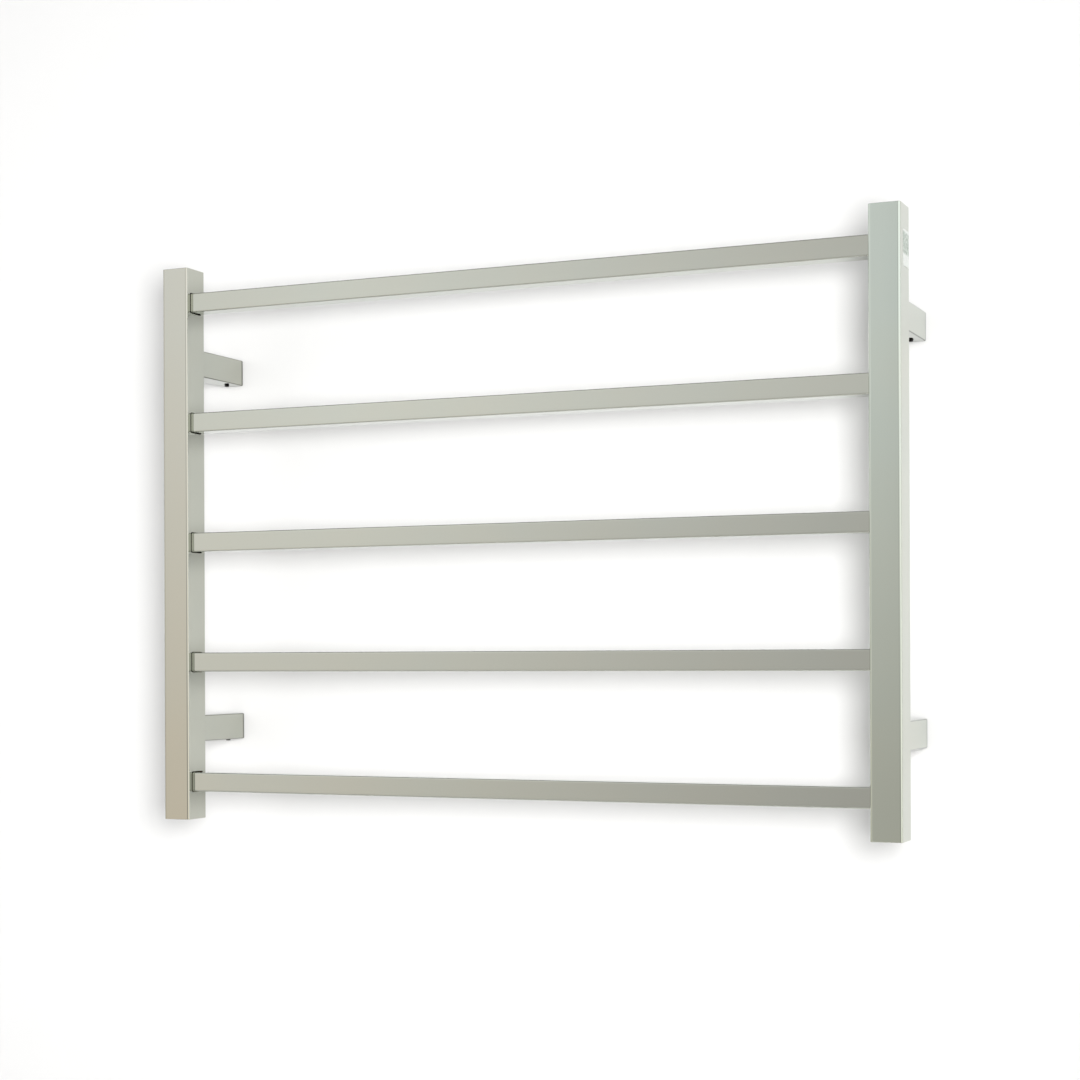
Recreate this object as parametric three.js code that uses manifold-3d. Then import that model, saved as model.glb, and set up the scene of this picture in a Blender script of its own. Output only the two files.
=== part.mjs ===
// Heated towel ladder: two box-section posts, five square rungs and four hollow stand-off arms that slide
// over bosses on the wall. Millimetres, +Z up. X runs along the rungs. The wall is the plane Y = 0 and
// the ladder stands on its -Y side. The origin is on the wall, at mid-width and mid-height.
import * as THREE from 'three';
import { mergeVertices } from 'three/addons/utils/BufferGeometryUtils.js';
import Module from 'manifold-3d';

const wasm = await Module();
wasm.setup();

// Driving dimensions.
const WIDTH = 752;
const HEIGHT = 552;
const PROJECTION = 112; // wall to the front of the posts
const GAP = 0.3; // between pieces that touch

const POST = { width: 29, depth: 32, wall: 1.5, corner: 2.2, capThickness: 2.5, capCorner: 0.9 };
const RUNG = { side: 19, wall: 1.2, corner: 1, count: 5, pitch: 120, middleZ: 1.5 };
const RUNG_LET_IN = 5; // how far a rung runs past the face of the post
const RUNG_REVEAL = 0.7; // open line round a rung where it enters the post
const ARM = { width: 21.5, height: 26.5, wall: 2, endWall: 3, corner: 1.2 };
const ARM_Z = { upper: 184, lower: -185.5 };
const BOSS = { width: 16.9, height: 18.2, length: 22, wall: 2, base: 3, corner: 0.8, centreZ: 1.85 };
const BOSS_SCREW = { radius: 2.25, z: 5.2 };
const BOSS_CABLEWAY = { radius: 2.5, z: -1.2 };
const SCREW = { radius: 2.5, length: 10.4, headRadius: 4.25, headHeight: 5, key: 4, keyDepth: 2.6, z: 5 };
const INSERT = { width: 20, height: 13.4, thickness: 4, centreZ: 7.3 };
const GRUB = { radius: 2.5, key: 2.5, keyDepth: 3, fromWall: 15.5, proud: 1.6 };
const GRUB_PLATE = { width: 12, depth: 10, thickness: 3 };
const CABLE_HOLE = { radius: 4.25, z: -4.5 };
const GROMMET = { bore: 2.75, flange: 4.9, flangeThickness: 1.5 };
const TAG = { outer: 4.4, thickness: 0.8, bladeWidth: 6, bladeLength: 12, bladeX: -6.2 };
const CABLE = { radius: 2, bend: 12, dropInRung: 5.4, inPost: 1 };
const SLEEVE = { radius: 3.2, cutoutLength: 14, jointLength: 18 };
const END_SEAL = { radius: 2.6, length: 16 };
const LABEL = { width: 19, height: 32, thickness: 0.2, offset: 0.1, corner: 1.5, centreZ: 238, nearerWall: 3 };

// Places worked out from them.
const POST_X = (WIDTH - POST.width) / 2;
const POST_Y = -PROJECTION + POST.depth / 2;
const POST_BACK = -PROJECTION + POST.depth;
const RUNG_HALF = POST_X - POST.width / 2 + RUNG_LET_IN;
const ARM_END = POST_BACK + GAP;
const ARM_FLOOR = -ARM.height / 2 + ARM.wall;
const BOSS_UNDERSIDE = BOSS.centreZ - BOSS.height / 2;
const TAPPED_RADIUS = SCREW.radius + GAP;

const finish = {
  polished: { color: 0xc9cabf, roughness: 0.06, metalness: 1 },
  plainSteel: { color: 0xa9a9a4, roughness: 0.38, metalness: 1 },
  screwSteel: { color: 0x2b2b2a, roughness: 0.4, metalness: 1 },
  rubber: { color: 0x1d1d1d, roughness: 0.8, metalness: 0 },
  silicone: { color: 0xa4402c, roughness: 0.6, metalness: 0 },
  tinned: { color: 0xb9ad84, roughness: 0.3, metalness: 1 },
  label: { color: 0xcfd3cc, roughness: 0.55, metalness: 0 },
};

function roundedRectangle(width, height, radius, path = new THREE.Shape()) {
  const x = width / 2 - radius;
  const y = height / 2 - radius;
  path.absarc(x, y, radius, 0, Math.PI / 2);
  path.absarc(-x, y, radius, Math.PI / 2, Math.PI);
  path.absarc(-x, -y, radius, Math.PI, Math.PI * 1.5);
  path.absarc(x, -y, radius, Math.PI * 1.5, Math.PI * 2);
  path.closePath();
  return path;
}

function circle(radius, y = 0, path = new THREE.Path()) {
  for (let quarter = 0; quarter < 4; quarter += 1) {
    path.absarc(0, y, radius, (quarter * Math.PI) / 2, ((quarter + 1) * Math.PI) / 2);
  }
  path.closePath();
  return path;
}

function hexagon(acrossFlats) {
  const reach = acrossFlats / Math.sqrt(3);
  const points = Array.from({ length: 6 }, (_, index) => {
    const angle = (index * Math.PI) / 3;
    return new THREE.Vector2(reach * Math.cos(angle), reach * Math.sin(angle));
  });
  return new THREE.Shape(points);
}

function tubeSection(width, height, wall, corner) {
  const section = roundedRectangle(width, height, corner);
  const bore = roundedRectangle(width - 2 * wall, height - 2 * wall, corner / 2, new THREE.Path());
  section.holes.push(bore);
  return section;
}

// Extrusions, each centred on its own axis.
function upright(shape, length) {
  const options = { depth: length, bevelEnabled: false, curveSegments: 2 };
  return new THREE.ExtrudeGeometry(shape, options).translate(0, 0, -length / 2);
}

function towardsWall(shape, length) {
  return upright(shape, length).rotateX(Math.PI / 2);
}

function sideways(shape, length) {
  return towardsWall(shape, length).rotateZ(Math.PI / 2);
}

// A drill along Y, or along Z when turned up.
function drill(radius, length) {
  return new THREE.CylinderGeometry(radius, radius, length, 24);
}

// Turned parts are profiles of [radius, distance along the axis], turned about Y.
function turned(profile, segments = 24) {
  const points = profile.map(([radius, along]) => new THREE.Vector2(radius, along));
  return new THREE.LatheGeometry(points, segments);
}

function roundedPin(radius, length, edge = 0.8) {
  const half = length / 2;
  return turned([[0, -half], [radius - edge, -half], [radius, -half + edge],
    [radius, half - edge], [radius - edge, half], [0, half]]);
}

function toSolid(geometry) {
  const bare = geometry.clone();
  bare.deleteAttribute('normal');
  bare.deleteAttribute('uv');
  const merged = mergeVertices(bare, 1e-4);
  const indices = merged.index.array;
  const triVerts = [];
  for (let i = 0; i < indices.length; i += 3) {
    const [a, b, c] = indices.slice(i, i + 3);
    if (a !== b && b !== c && c !== a) {
      triVerts.push(a, b, c);
    }
  }
  return new wasm.Manifold(new wasm.Mesh({
    numProp: 3,
    vertProperties: merged.attributes.position.array,
    triVerts: new Uint32Array(triVerts),
  }));
}

function toGeometry(solid) {
  const mesh = solid.getMesh();
  const geometry = new THREE.BufferGeometry();
  geometry.setAttribute('position', new THREE.BufferAttribute(mesh.vertProperties, 3));
  geometry.setIndex(new THREE.BufferAttribute(mesh.triVerts, 1));
  geometry.computeVertexNormals();
  return geometry;
}

function cut(geometry, cutters) {
  const solid = cutters.reduce((left, cutter) => left.subtract(toSolid(cutter)), toSolid(geometry));
  return toGeometry(solid);
}

function join(geometries) {
  return toGeometry(geometries.map(toSolid).reduce((whole, added) => whole.add(added)));
}

function piece(name, geometry, look, x = 0, y = 0, z = 0) {
  const mesh = new THREE.Mesh(geometry, new THREE.MeshStandardMaterial(look));
  mesh.name = name;
  mesh.position.set(x, y, z);
  return mesh;
}

function rungZ(number) {
  return RUNG.middleZ + ((RUNG.count + 1) / 2 - number) * RUNG.pitch;
}

const rungNumbers = Array.from({ length: RUNG.count }, (_, index) => index + 1);

// A post, in a frame on its own axis. inward is the direction of the rungs.
function postGeometry(inward) {
  const opening = RUNG.side + 2 * RUNG_REVEAL;
  const slots = rungNumbers.map((number) => {
    const slot = sideways(roundedRectangle(opening, opening, RUNG.corner + RUNG_REVEAL), 4 * POST.wall);
    return slot.translate((inward * (POST.width - POST.wall)) / 2, 0, rungZ(number));
  });
  const backWall = (POST.depth - POST.wall) / 2;
  const holes = Object.values(ARM_Z).flatMap((z) => [
    drill(TAPPED_RADIUS, 4 * POST.wall).translate(0, backWall, z + SCREW.z),
    drill(CABLE_HOLE.radius, 4 * POST.wall).translate(0, backWall, z + CABLE_HOLE.z),
  ]);
  const tube = tubeSection(POST.width, POST.depth, POST.wall, POST.corner);
  return cut(upright(tube, HEIGHT), [...slots, ...holes]);
}

function post(side, inward) {
  const assembly = new THREE.Group();
  assembly.position.set(-inward * POST_X, POST_Y, 0);
  assembly.add(piece(`post_${side}`, postGeometry(inward), finish.polished));
  const play = 2 * (POST.wall + GAP);
  for (const [end, direction] of [['top', 1], ['bottom', -1]]) {
    const outline = roundedRectangle(POST.width - play, POST.depth - play, POST.capCorner);
    const cap = upright(outline, POST.capThickness);
    const z = (direction * (HEIGHT - POST.capThickness)) / 2;
    assembly.add(piece(`post_${side}_cap_${end}`, cap, finish.polished, 0, 0, z));
  }
  return assembly;
}

// The pieces at one corner, in a frame on the arm's axis at the wall.
function armGeometry() {
  const length = -ARM_END - GAP;
  const mouth = 1; // how far the cutter stands out of the arm's mouth
  const deep = length - ARM.endWall + mouth;
  const boreWidth = ARM.width - 2 * ARM.wall;
  const boreHeight = ARM.height - 2 * ARM.wall;
  const endWall = ARM_END + ARM.endWall / 2;
  const outside = towardsWall(roundedRectangle(ARM.width, ARM.height, ARM.corner), length);
  const bore = towardsWall(roundedRectangle(boreWidth, boreHeight, 0.4), deep);
  return cut(outside.translate(0, -GAP - length / 2, 0), [
    bore.translate(0, -GAP + mouth - deep / 2, 0),
    drill(TAPPED_RADIUS, 2 * ARM.endWall).translate(0, endWall, SCREW.z),
    drill(CABLE_HOLE.radius, 2 * ARM.endWall).translate(0, endWall, CABLE_HOLE.z),
    drill(GRUB.radius + GAP, 2 * ARM.wall).rotateX(Math.PI / 2)
      .translate(0, -GRUB.fromWall, -ARM.height / 2 + ARM.wall / 2),
  ]);
}

function bossGeometry() {
  const { width, height, length, wall, base, corner, centreZ } = BOSS;
  const outside = towardsWall(roundedRectangle(width, height, corner), length);
  const pocket = towardsWall(roundedRectangle(width - 2 * wall, height - 2 * wall, 0.4), length);
  return cut(outside.translate(0, -length / 2, centreZ), [
    pocket.translate(0, -base - length / 2, centreZ),
    drill(BOSS_SCREW.radius, 4 * base).translate(0, 0, BOSS_SCREW.z),
    drill(BOSS_CABLEWAY.radius, 4 * base).translate(0, 0, BOSS_CABLEWAY.z),
  ]);
}

// A socket-cap screw that points towards the post. Its head bears at Y = 0.
function screwGeometry() {
  const { radius, length, headRadius, headHeight, key, keyDepth } = SCREW;
  const chamfer = 0.4;
  const body = turned([[0, -length], [radius - chamfer, -length], [radius, -length + chamfer], [radius, 0],
    [headRadius, 0], [headRadius, headHeight - chamfer], [headRadius - chamfer, headHeight], [0, headHeight]]);
  return cut(body, [towardsWall(hexagon(key), 2 * keyDepth).translate(0, headHeight, 0)]);
}

// A grub screw that stands upright, with its key socket at Z = 0 and its point on top.
function grubGeometry(length) {
  const { radius, key, keyDepth } = GRUB;
  const body = turned([[0, 0], [radius - 0.3, 0], [radius, 0.3], [radius, length - 0.9],
    [radius - 0.9, length], [0, length]]).rotateX(Math.PI / 2);
  return cut(body, [upright(hexagon(key), 2 * keyDepth)]);
}

function tappedPlate(width, height, thickness, holeY) {
  const plate = roundedRectangle(width, height, 0.5);
  plate.holes.push(circle(TAPPED_RADIUS, holeY));
  return upright(plate, thickness);
}

function grommetGeometry() {
  const { bore, flange, flangeThickness } = GROMMET;
  const neck = CABLE_HOLE.radius - GAP;
  const inside = POST_BACK - POST.wall - GAP;
  const outside = ARM_END + ARM.endWall + GAP;
  const profile = [[bore, inside - flangeThickness], [flange, inside - flangeThickness], [flange, inside],
    [neck, inside], [neck, outside], [flange, outside], [flange, outside + flangeThickness],
    [bore, outside + flangeThickness], [bore, inside - flangeThickness]];
  return turned(profile);
}

// An eyelet round the screw, with a blade that turns along the arm for the earth lead.
function earthTagGeometry() {
  const { outer, thickness, bladeWidth, bladeLength, bladeX } = TAG;
  const eye = circle(outer, 0, new THREE.Shape());
  eye.holes.push(circle(TAPPED_RADIUS));
  const neckWidth = -bladeX - TAPPED_RADIUS - 0.2;
  const neck = new THREE.BoxGeometry(neckWidth, thickness, bladeWidth);
  const blade = new THREE.BoxGeometry(thickness, bladeLength, bladeWidth);
  return join([
    towardsWall(eye, thickness),
    neck.translate(bladeX + neckWidth / 2, 0, 0),
    blade.translate(bladeX, (bladeLength - thickness) / 2, 0),
  ]);
}

function standOff(level, side, wired) {
  const where = `${level}_${side}`;
  const assembly = new THREE.Group();
  assembly.position.set(side === 'right' ? POST_X : -POST_X, 0, ARM_Z[level]);

  assembly.add(piece(`arm_${where}`, armGeometry(), finish.polished));
  assembly.add(piece(`wall_boss_${where}`, bossGeometry(), finish.plainSteel));

  const grubBottom = -ARM.height / 2 - GRUB.proud;
  const grubTop = BOSS_UNDERSIDE - GAP;
  const grub = grubGeometry(grubTop - grubBottom);
  assembly.add(piece(`grub_screw_${where}`, grub, finish.screwSteel, 0, -GRUB.fromWall, grubBottom));
  const grubPlate = tappedPlate(GRUB_PLATE.width, GRUB_PLATE.depth, GRUB_PLATE.thickness, 0);
  const grubPlateZ = ARM_FLOOR + GAP + GRUB_PLATE.thickness / 2;
  assembly.add(piece(`grub_nut_${where}`, grubPlate, finish.plainSteel, 0, -GRUB.fromWall, grubPlateZ));

  const insert = tappedPlate(INSERT.width, INSERT.height, INSERT.thickness, SCREW.z - INSERT.centreZ);
  const insertY = POST_BACK - POST.wall - GAP - INSERT.thickness / 2;
  assembly.add(piece(`post_insert_${where}`, insert.rotateX(Math.PI / 2), finish.plainSteel,
    0, insertY, INSERT.centreZ));

  let bearing = ARM_END + ARM.endWall + GAP;
  if (wired) {
    const tagY = bearing + TAG.thickness / 2;
    assembly.add(piece('earth_tag', earthTagGeometry(), finish.tinned, 0, tagY, SCREW.z));
    assembly.add(piece('cable_grommet', grommetGeometry(), finish.rubber, 0, 0, CABLE_HOLE.z));
    bearing += TAG.thickness + GAP;
  }
  assembly.add(piece(`arm_screw_${where}`, screwGeometry(), finish.screwSteel, 0, bearing, SCREW.z));
  return assembly;
}

function rungs() {
  const set = new THREE.Group();
  for (const number of rungNumbers) {
    const tube = sideways(tubeSection(RUNG.side, RUNG.side, RUNG.wall, RUNG.corner), 2 * RUNG_HALF);
    set.add(piece(`rung_${number}`, tube, finish.polished, 0, POST_Y, rungZ(number)));
  }
  return set;
}

// A route whose steps fall on its own points, so the straight runs take one step each.
class Route extends THREE.Curve {
  constructor(points) {
    super();
    this.points = points;
  }

  getPoint(t, target = new THREE.Vector3()) {
    const along = t * (this.points.length - 1);
    const from = Math.min(Math.floor(along), this.points.length - 2);
    return target.lerpVectors(this.points[from], this.points[from + 1], along - from);
  }

  getPointAt(t, target) {
    return this.getPoint(t, target);
  }

  getTangentAt(t, target = new THREE.Vector3()) {
    const at = Math.round(t * (this.points.length - 1));
    const before = this.points[Math.max(at - 1, 0)];
    const after = this.points[Math.min(at + 1, this.points.length - 1)];
    return target.subVectors(after, before).normalize();
  }
}

const cableX = POST_X + CABLE.inPost;
const cableStartZ = rungZ(RUNG.count) - CABLE.dropInRung + CABLE.bend + 4;
const cableEndX = -RUNG_HALF + 6 + END_SEAL.length + GAP;

// A quarter turn between the post on one side and a rung. up is +1 when the post's run is above the rung.
function quarterTurn(side, up, z) {
  const centreX = cableX - CABLE.bend;
  const steps = 5;
  return Array.from({ length: steps + 1 }, (_, step) => {
    const angle = (step / steps) * (Math.PI / 2);
    const x = side * (centreX + CABLE.bend * Math.cos(angle));
    return new THREE.Vector3(x, POST_Y, z + up * CABLE.bend * (1 - Math.sin(angle)));
  });
}

// The heating cable climbs from the lowest rung to the highest, crossing over in each.
function heatingCable() {
  const points = [new THREE.Vector3(cableX, POST_Y, cableStartZ)];
  let side = 1;
  for (let number = RUNG.count; number >= 1; number -= 1) {
    const z = rungZ(number) - CABLE.dropInRung;
    const cameFrom = number === RUNG.count ? 1 : -1;
    points.push(...quarterTurn(side, cameFrom, z));
    side = -side;
    if (number > 1) {
      points.push(...quarterTurn(side, 1, z).reverse());
    } else {
      points.push(new THREE.Vector3(cableEndX, POST_Y, z));
    }
  }
  const section = new THREE.Shape().absarc(0, 0, CABLE.radius, 0, Math.PI * 2);
  const options = { extrudePath: new Route(points), steps: points.length - 1, curveSegments: 4 };
  return new THREE.ExtrudeGeometry(section, options);
}

function heater() {
  const set = new THREE.Group();
  set.add(piece('heating_cable', heatingCable(), finish.silicone));

  const seal = roundedPin(END_SEAL.radius, END_SEAL.length).rotateZ(Math.PI / 2);
  const sealX = cableEndX - GAP - END_SEAL.length / 2;
  set.add(piece('cable_end_seal', seal, finish.silicone, sealX, POST_Y, rungZ(1) - CABLE.dropInRung));

  const cutoutZ = cableStartZ + GAP + SLEEVE.cutoutLength / 2;
  const jointZ = cutoutZ + (SLEEVE.cutoutLength + SLEEVE.jointLength) / 2 + GAP;
  const cutout = roundedPin(SLEEVE.radius, SLEEVE.cutoutLength).rotateX(Math.PI / 2);
  const joint = roundedPin(SLEEVE.radius, SLEEVE.jointLength).rotateX(Math.PI / 2);
  set.add(piece('thermal_cutout', cutout, finish.rubber, cableX, POST_Y, cutoutZ));
  set.add(piece('cold_joint', joint, finish.silicone, cableX, POST_Y, jointZ));
  return set;
}

function ratingLabel() {
  const sticker = sideways(roundedRectangle(LABEL.width, LABEL.height, LABEL.corner), LABEL.thickness);
  const x = WIDTH / 2 + LABEL.offset + LABEL.thickness / 2;
  return piece('rating_label', sticker, finish.label, x, POST_Y + LABEL.nearerWall, LABEL.centreZ);
}

const group = new THREE.Group();
group.name = 'heated_towel_ladder';
group.add(post('left', 1), post('right', -1), rungs());
for (const level of ['upper', 'lower']) {
  for (const side of ['left', 'right']) {
    group.add(standOff(level, side, level === 'lower' && side === 'right'));
  }
}
group.add(heater(), ratingLabel());

export default group;
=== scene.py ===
import math

import bmesh
import bpy
from mathutils import Matrix, Vector


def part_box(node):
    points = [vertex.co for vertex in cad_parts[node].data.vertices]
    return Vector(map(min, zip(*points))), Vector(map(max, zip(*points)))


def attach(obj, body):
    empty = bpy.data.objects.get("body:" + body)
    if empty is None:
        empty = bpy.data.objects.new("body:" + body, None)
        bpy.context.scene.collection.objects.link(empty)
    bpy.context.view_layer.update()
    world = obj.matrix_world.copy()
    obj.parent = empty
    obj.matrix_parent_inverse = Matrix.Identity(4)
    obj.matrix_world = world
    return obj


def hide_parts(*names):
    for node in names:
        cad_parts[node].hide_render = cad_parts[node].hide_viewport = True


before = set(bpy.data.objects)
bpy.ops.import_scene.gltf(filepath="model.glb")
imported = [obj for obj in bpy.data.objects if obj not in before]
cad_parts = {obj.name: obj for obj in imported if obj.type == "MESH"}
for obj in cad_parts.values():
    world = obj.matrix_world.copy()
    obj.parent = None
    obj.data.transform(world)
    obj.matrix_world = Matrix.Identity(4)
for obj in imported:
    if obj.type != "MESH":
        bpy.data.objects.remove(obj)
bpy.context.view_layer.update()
mm = 0.001

# where things are, from the frame
postBox = {side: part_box("post_" + side) for side in ("left", "right")}
rungBox = {number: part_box("rung_%d" % number) for number in range(1, 6)}
corners = [level + "_" + side for level in ("upper", "lower") for side in ("left", "right")]
armBox = {where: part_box("arm_" + where) for where in corners}


def middle(box):
    return (box[0] + box[1]) / 2


def addObject(name, data):
    item = bpy.data.objects.new(name, data)
    bpy.context.scene.collection.objects.link(item)
    return item


# camera

cameraSetup = {
    "place": (0.8011, -1.8593, -0.1162),  # standing to the right, a little below the middle
    "turnLeft": 23.63,  # degrees
    "roll": -0.22,
    "lens": 68.75,
    "sensor": 36.0,
    "shiftUp": 0.1097,
    "farthest": 60.0,
}


def makeCamera(setup):
    data = bpy.data.cameras.new("camera")
    data.lens = setup["lens"]
    data.sensor_width = setup["sensor"]
    data.shift_y = setup["shiftUp"]
    data.clip_end = setup["farthest"]
    camera = addObject("camera", data)
    turn = Matrix.Rotation(math.radians(setup["turnLeft"]), 4, "Z")
    level = Matrix.Rotation(math.radians(90.0), 4, "X")
    roll = Matrix.Rotation(math.radians(setup["roll"]), 4, "Z")
    camera.matrix_world = Matrix.Translation(setup["place"]) @ turn @ level @ roll
    bpy.context.scene.camera = camera


makeCamera(cameraSetup)
print("camera placed")


# node helpers

def link(tree, source, target):
    tree.links.new(source, target)


def addNode(tree, kind, **inputs):
    # a node with its inputs set, or linked where the value is another node's output
    node = tree.nodes.new(kind)
    for name, value in inputs.items():
        socket = node.inputs[name.replace("_", " ")]
        if isinstance(value, bpy.types.NodeSocket):
            link(tree, value, socket)
        else:
            socket.default_value = value
    return node


def newMaterial(name):
    material = bpy.data.materials.new(name)
    material.use_nodes = True
    tree = material.node_tree
    return material, tree, tree.nodes["Principled BSDF"]


def patternSpace(tree, scale=(1, 1, 1)):
    place = tree.nodes.new("ShaderNodeTexCoord").outputs["Object"]
    return addNode(tree, "ShaderNodeMapping", Vector=place, Scale=scale).outputs["Vector"]


def noise(tree, space, scale, detail=2.0, rough=0.5):
    node = addNode(tree, "ShaderNodeTexNoise", Vector=space, Scale=scale, Detail=detail, Roughness=rough)
    return node.outputs["Fac"]


def spread(tree, source, low, high, fromLow=0.3, fromHigh=0.7):
    node = addNode(tree, "ShaderNodeMapRange", Value=source, From_Min=fromLow, From_Max=fromHigh,
                   To_Min=low, To_Max=high)
    return node.outputs["Result"]


def mixColours(tree, amount, one, two):
    # either colour may be a plain one or another node's output
    node = tree.nodes.new("ShaderNodeMix")
    node.data_type = "RGBA"
    link(tree, amount, node.inputs["Factor"])
    for socket, value in (("A", one), ("B", two)):
        if isinstance(value, tuple):
            node.inputs[socket].default_value = (*value, 1)
        else:
            link(tree, value, node.inputs[socket])
    return node.outputs["Result"]


def mathNode(tree, operation, one, two=None):
    node = tree.nodes.new("ShaderNodeMath")
    node.operation = operation
    for socket, value in zip(node.inputs, (one, two)):
        if isinstance(value, (int, float)):
            socket.default_value = value
        elif value is not None:
            link(tree, value, socket)
    return node.outputs["Value"]


def vectorMath(tree, operation, one, two=None):
    node = tree.nodes.new("ShaderNodeVectorMath")
    node.operation = operation
    link(tree, one, node.inputs[0])
    socket = node.inputs["Scale" if operation == "SCALE" else 1]
    if isinstance(two, (int, float)):
        socket.default_value = two
    elif two is not None:
        link(tree, two, socket)
    return node.outputs["Vector"]


def splitVector(tree, vector):
    node = addNode(tree, "ShaderNodeSeparateXYZ", Vector=vector)
    return [node.outputs[axis] for axis in "XYZ"]


def colourRamp(tree, amount, stops):
    node = addNode(tree, "ShaderNodeValToRGB", Fac=amount)
    ramp = node.color_ramp
    for k, (place, colour) in enumerate(stops):
        stop = ramp.elements[k] if k < 2 else ramp.elements.new(place)
        stop.position = place
        stop.color = (*colour, 1)
    return node.outputs["Color"]


def bump(tree, heights, shader):
    normal = None
    for height, strength, distance in heights:
        node = addNode(tree, "ShaderNodeBump", Height=height, Strength=strength, Distance=distance)
        if normal:
            link(tree, normal, node.inputs["Normal"])
        normal = node.outputs["Normal"]
    link(tree, normal, shader.inputs["Normal"])


# finishes

polish = {
    "warm": (0.560, 0.565, 0.498),
    "cool": (0.548, 0.566, 0.508),
    "grazing": (0.90, 0.91, 0.92),
    "roughness": (0.035, 0.075),
    "toneScale": 9.0,
    "rippleScale": 26.0,
    "ripple": (0.02, 0.0006),  # strength and height of the waves left by polishing
    "buffing": (0.012, 0.0002),
    "sideways": (0.75, 0.97),  # how far a face turns before it counts as a side
    "rounded": (0.92, 0.995),
}

# painted shade on the arms: a dark outline on their rounded edges and on the last stretch by the wall; how
# far it reaches from the wall, how softly it ends, and how dark it is
armShade = {"reach": 3.6 * mm, "fade": 0.8 * mm, "level": 0.5}


def along(tree, axis, low, high):
    # 0 to 1 between two places on an axis of the object
    return spread(tree, splitVector(tree, patternSpace(tree))["XYZ".index(axis)], 0, 1, low, high)


def normalSizes(tree):
    # how far a face looks along X, Y and Z, whichever way
    normal = tree.nodes.new("ShaderNodeNewGeometry").outputs["Normal"]
    return splitVector(tree, vectorMath(tree, "ABSOLUTE", normal))


def facingSideways(tree):
    # 0 on faces that look forwards or up, 1 on faces that look left or right
    return spread(tree, normalSizes(tree)[0], 0, 1, *polish["sideways"])


def tintByHeight(tree, stops):
    # a colour ramp up the rack, from its foot to its top, kept at half strength because a ramp ends at 1
    low, high = postBox["left"][0].z, postBox["left"][1].z
    halves = [((z - low) / (high - low), [c / 2 for c in tint]) for z, tint in stops]
    return vectorMath(tree, "SCALE", colourRamp(tree, along(tree, "Z", low, high), halves), 2.0)


def nearWall(tree):
    # 1 on the last stretch before the wall, where a polished end catches no light
    return along(tree, "Y", -armShade["reach"] - armShade["fade"], -armShade["reach"])


def edgeMask(tree):
    # 1 on rounded edges, 0 on flat faces
    x, y, z = normalSizes(tree)
    largest = mathNode(tree, "MAXIMUM", mathNode(tree, "MAXIMUM", x, y), z)
    return spread(tree, largest, 1, 0, *polish["rounded"])


def polishedSteel(name, grain, fronts=None, sides=0.88, level=1.0, paintedEdgeShade=False):
    material, tree, shader = newMaterial(name)
    shader.inputs["Metallic"].default_value = 1.0
    shader.inputs["Specular Tint"].default_value = (*polish["grazing"], 1)
    broad = patternSpace(tree)
    tone = spread(tree, noise(tree, broad, polish["toneScale"]), 0.0, 1.0)
    steel = mixColours(tree, tone, polish["warm"], polish["cool"])
    # painted reflection and shade: the fronts are tinted along the tube or scaled by level, and faces that
    # look left or right are scaled by sides
    if fronts:
        front = vectorMath(tree, "MULTIPLY", steel, fronts(tree))
    else:
        front = vectorMath(tree, "SCALE", steel, level)
    side = vectorMath(tree, "SCALE", steel, sides)
    colour = mixColours(tree, facingSideways(tree), front, side)
    if paintedEdgeShade:
        # painted shade: darker on the rounded edges and on the stretch by the wall
        shade = mathNode(tree, "MAXIMUM", edgeMask(tree), nearWall(tree))
        dark = vectorMath(tree, "SCALE", colour, armShade["level"])
        colour = mixColours(tree, shade, colour, dark)
    link(tree, colour, shader.inputs["Base Color"])
    buffing = noise(tree, patternSpace(tree, grain), 1.0, detail=6.0, rough=0.65)
    link(tree, spread(tree, buffing, *polish["roughness"]), shader.inputs["Roughness"])
    ripple = noise(tree, broad, polish["rippleScale"], detail=1.0)
    bump(tree, [(ripple, *polish["ripple"]), (buffing, *polish["buffing"])], shader)
    return material


def machinedSteel(name, grain, colours, roughness):
    material, tree, shader = newMaterial(name)
    shader.inputs["Metallic"].default_value = 1.0
    lines = noise(tree, patternSpace(tree, grain), 1.0, detail=7.0, rough=0.7)
    blotches = noise(tree, patternSpace(tree), 160.0)
    link(tree, mixColours(tree, spread(tree, blotches, 0, 1), *colours), shader.inputs["Base Color"])
    link(tree, spread(tree, lines, *roughness), shader.inputs["Roughness"])
    bump(tree, [(lines, 0.15, 0.0001)], shader)
    return material


def softRubber(name, colours, roughness, grain=1800.0):
    material, tree, shader = newMaterial(name)
    shader.inputs["IOR"].default_value = 1.48
    space = patternSpace(tree)
    dust = noise(tree, space, 220.0, detail=4.0)
    link(tree, mixColours(tree, spread(tree, dust, 0, 1), *colours), shader.inputs["Base Color"])
    pores = noise(tree, space, grain, detail=3.0)
    link(tree, spread(tree, pores, *roughness), shader.inputs["Roughness"])
    bump(tree, [(pores, 0.2, 0.0001)], shader)
    return material


# painted reflection and shade on each tube, different from the next one's: its steel colour made brighter
# or darker along it
paintedReflectionTint = {
    "rungLeft": (1.055, 1.04, 1.07, 1.05, 1.0),  # from the lowest rung to the highest
    "rungRight": (1.0, 0.99, 0.965, 1.08, 0.97),
    "postLeft": ((1.013, 0.952, 0.882), (1.06, 1.034, 1.037)),  # foot, top
    "postRight": ((1.09, 1.12, 1.077), (1.188, 1.277, 1.313)),
}


# painted reflection: each post is tinted from its foot to its top
def postPaintedReflection(side):
    foot, top = paintedReflectionTint["post" + side.capitalize()]
    low, high = postBox[side]
    return lambda tree: tintByHeight(tree, ((low.z, foot), (high.z, top)))


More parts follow.
